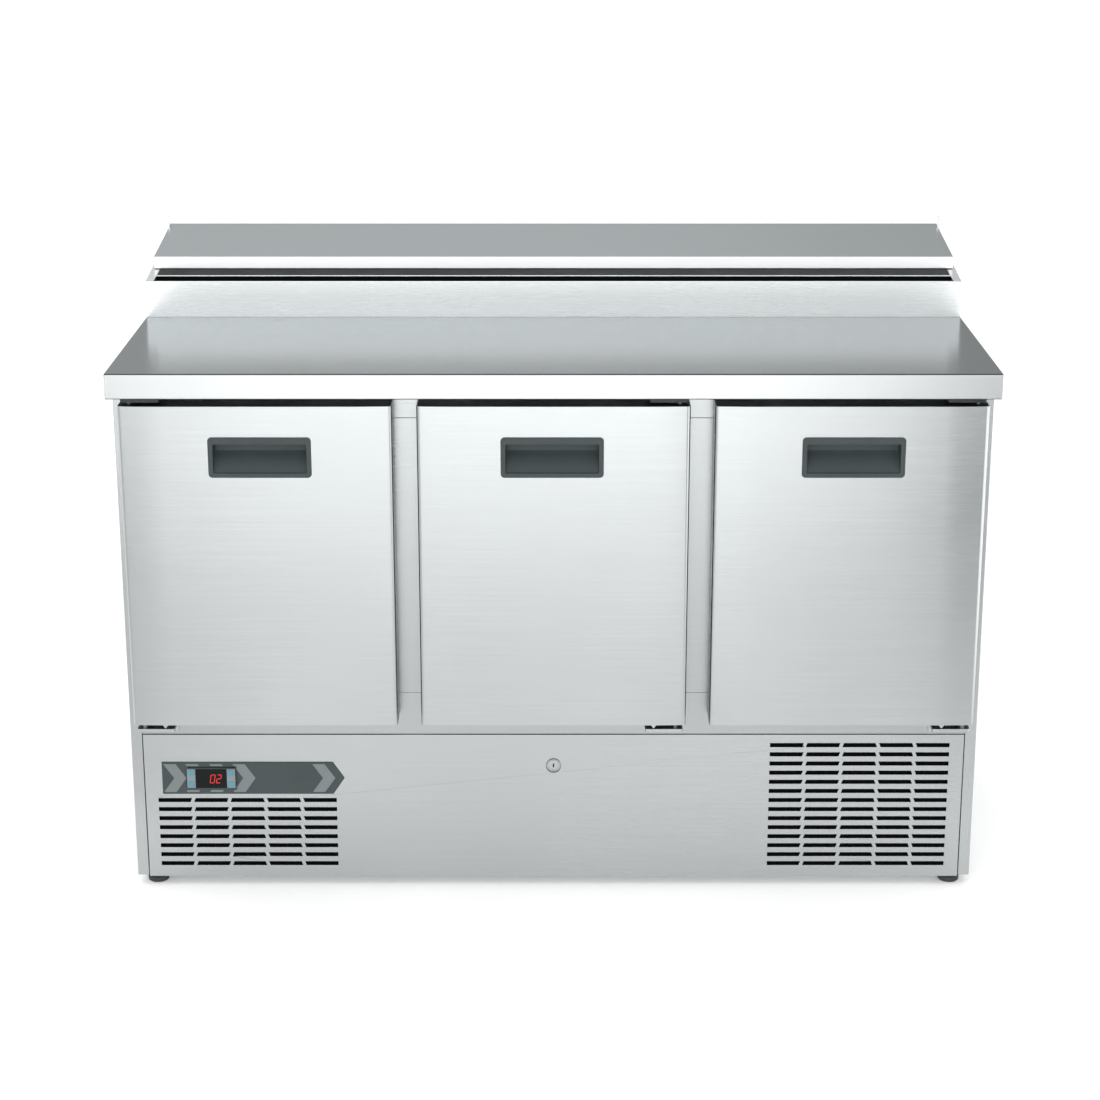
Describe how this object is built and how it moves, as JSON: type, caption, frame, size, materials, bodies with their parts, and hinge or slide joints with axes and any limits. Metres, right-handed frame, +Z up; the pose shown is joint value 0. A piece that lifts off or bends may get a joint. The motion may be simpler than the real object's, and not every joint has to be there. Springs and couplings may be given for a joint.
{
  "type": "sandwich prep table",
  "caption": "Refrigerated sandwich prep table: flat steel worktop, hinged lid over food pans, hinged doors with recessed pulls, grilled service panel below.",
  "frame": {"origin": "on the floor under the middle of the table's outline, at the bottom of the feet", "axes": "+X to the right of someone standing at the doors, +Y from the doors to the back, +Z up"},
  "size_m": [1.365, 0.7, 1],
  "materials": {
    "brushed_panel": "brushed satin",
    "worktop_steel": "fine brushed, slightly darker",
    "pan_steel": "polished, pressed",
    "zinc_sheet": "zinc plated",
    "coil": "black coated fins",
    "wire": "coated wire",
    "black_plastic": "matt",
    "door_liner_plastic": "matt",
    "handle_plastic": "satin",
    "seal_rubber": "soft, matt",
    "badge_film": "satin printed film, chevrons",
    "control_plastic": "glossy window",
    "pad_plastic": "soft key",
    "black_enamel": "black enamel",
    "foot_rubber": "matt"
  },
  "bodies": {
    "cabinet": {"side_panel_left": "brushed_panel", "side_panel_right": "brushed_panel", "back_panel": "brushed_panel", "deck": "brushed_panel", "door_frame": "brushed_panel", "collar": "brushed_panel", "front_panel": "brushed_panel", "worktop": "worktop_steel", "pan_frame": "worktop_steel", "collar_channel": "black_plastic", "power_gland": "black_plastic", "base_tray": "zinc_sheet", "condenser_shroud": "zinc_sheet", "food_pan_1": "pan_steel", "food_pan_2": "pan_steel", "food_pan_3": "pan_steel", "food_pan_4": "pan_steel", "food_pan_5": "pan_steel", "food_pan_6": "pan_steel", "food_pan_7": "pan_steel", "food_pan_8": "pan_steel", "hinge_lower_left": "brushed_panel", "hinge_upper_left": "black_enamel", "shelf_left": "wire", "hinge_lower_middle": "brushed_panel", "hinge_upper_middle": "black_enamel", "shelf_middle": "wire", "hinge_lower_right": "brushed_panel", "hinge_upper_right": "black_enamel", "shelf_right": "wire", "evaporator": "brushed_panel", "condenser": "coil", "compressor": "black_enamel", "badge_plate": "badge_film", "controller": "control_plastic", "foot_front_left": "foot_rubber", "foot_front_right": "foot_rubber", "foot_rear_left": "foot_rubber", "foot_rear_right": "foot_rubber"},
    "door_left": {"door_left_skin": "brushed_panel", "door_left_liner": "door_liner_plastic", "door_left_gasket": "seal_rubber", "door_left_handle": "handle_plastic"},
    "door_middle": {"door_middle_skin": "brushed_panel", "door_middle_liner": "door_liner_plastic", "door_middle_gasket": "seal_rubber", "door_middle_handle": "handle_plastic"},
    "door_right": {"door_right_skin": "brushed_panel", "door_right_liner": "door_liner_plastic", "door_right_gasket": "seal_rubber", "door_right_handle": "handle_plastic"},
    "lid": {"lid_shell": "worktop_steel", "lid_liner": "door_liner_plastic"},
    "lock": {"panel_lock": "zinc_sheet"},
    "key_left_upper": {"button_left_upper": "pad_plastic"},
    "key_left_lower": {"button_left_lower": "pad_plastic"},
    "key_right_upper": {"button_right_upper": "pad_plastic"},
    "key_right_lower": {"button_right_lower": "pad_plastic"},
    "condenser_rotor": {"condenser_fan": "black_plastic"},
    "evaporator_rotor": {"evaporator_fan": "black_plastic"}
  },
  "joints": [
    {"name": "door_left_hinge", "type": "hinge", "parent": "cabinet", "child": "door_left", "pos_m": [-0.6525, -0.3135, 0.56], "axis": [0, 0, -1], "range_deg": [0, 100]},
    {"name": "door_middle_hinge", "type": "hinge", "parent": "cabinet", "child": "door_middle", "pos_m": [0.1945, -0.3135, 0.56], "axis": [0, 0, 1], "range_deg": [0, 100]},
    {"name": "door_right_hinge", "type": "hinge", "parent": "cabinet", "child": "door_right", "pos_m": [0.6525, -0.3135, 0.56], "axis": [0, 0, 1], "range_deg": [0, 100]},
    {"name": "lid_hinge", "type": "hinge", "parent": "cabinet", "child": "lid", "pos_m": [0, 0.338, 0.976], "axis": [-1, 0, 0], "range_deg": [0, 97]},
    {"name": "lock_turn", "type": "hinge", "parent": "cabinet", "child": "lock", "pos_m": [0, -0.285, 0.211], "axis": [0, 1, 0], "range_deg": [0, 90]},
    {"name": "left_upper_press", "type": "slide", "parent": "cabinet", "child": "key_left_upper", "axis": [0, 1, 0], "range_m": [0, 0.0006], "stiffness_N_per_m": 300},
    {"name": "left_lower_press", "type": "slide", "parent": "cabinet", "child": "key_left_lower", "axis": [0, 1, 0], "range_m": [0, 0.0006], "stiffness_N_per_m": 300},
    {"name": "right_upper_press", "type": "slide", "parent": "cabinet", "child": "key_right_upper", "axis": [0, 1, 0], "range_m": [0, 0.0006], "stiffness_N_per_m": 300},
    {"name": "right_lower_press", "type": "slide", "parent": "cabinet", "child": "key_right_lower", "axis": [0, 1, 0], "range_m": [0, 0.0006], "stiffness_N_per_m": 300},
    {"name": "condenser_fan_spin", "type": "hinge", "parent": "cabinet", "child": "condenser_rotor", "pos_m": [0.495, -0.204, 0.137], "axis": [0, 1, 0], "continuous": true},
    {"name": "evaporator_fan_spin", "type": "hinge", "parent": "cabinet", "child": "evaporator_rotor", "pos_m": [0, 0.257, 0.71], "axis": [0, 1, 0], "continuous": true}
  ]
}
